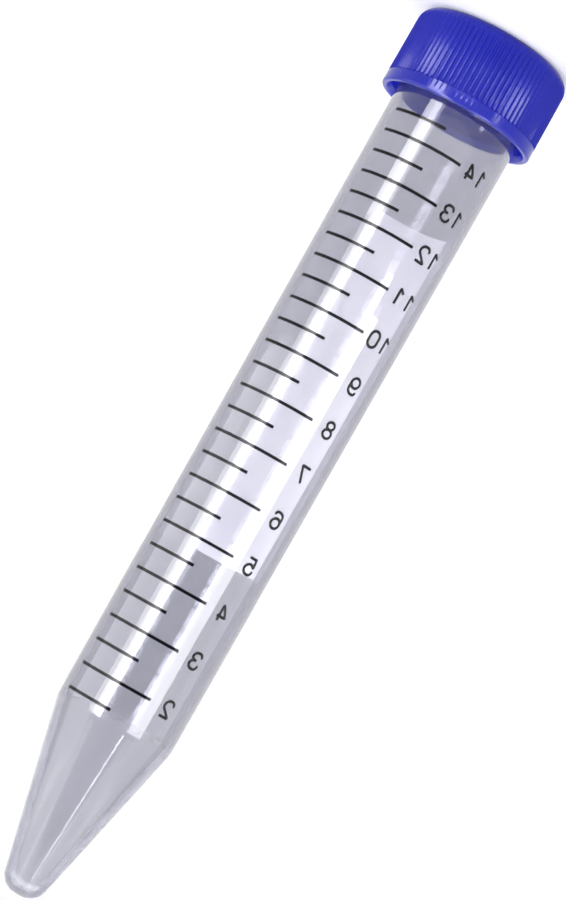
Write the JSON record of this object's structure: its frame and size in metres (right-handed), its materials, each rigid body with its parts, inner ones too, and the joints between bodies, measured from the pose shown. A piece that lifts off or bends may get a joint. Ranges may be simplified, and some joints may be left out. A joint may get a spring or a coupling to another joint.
{
  "type": "conical centrifuge tube",
  "caption": "Slim see-through plastic test tube with a conical end, a printed volume scale and a ribbed screw cap, shown standing on the cap.",
  "frame": {"origin": "centre of the cap's flat top, on which the closed tube stands", "axes": "+Z along the tube's axis, from the cap's flat top up to the tip of the cone; +X and +Y are any two directions across it, with -Y towards the printed scale"},
  "size_m": [0.0208, 0.0208, 0.12],
  "materials": {
    "tube_plastic": "clear to milky polypropylene, smooth and shiny",
    "cap_plastic": "deep blue polyethylene, satin shine",
    "scale_ink": "black printing ink",
    "panel_ink": "white frosted printing ink to write on"
  },
  "bodies": {
    "cap": {"screw_cap": "cap_plastic"},
    "tube": {"tube": "tube_plastic"}
  },
  "joints": [
    {"name": "tube_lift", "type": "slide", "parent": "cap", "child": "tube", "axis": [0, 0, 1], "range_m": [0, 0.03]}
  ]
}
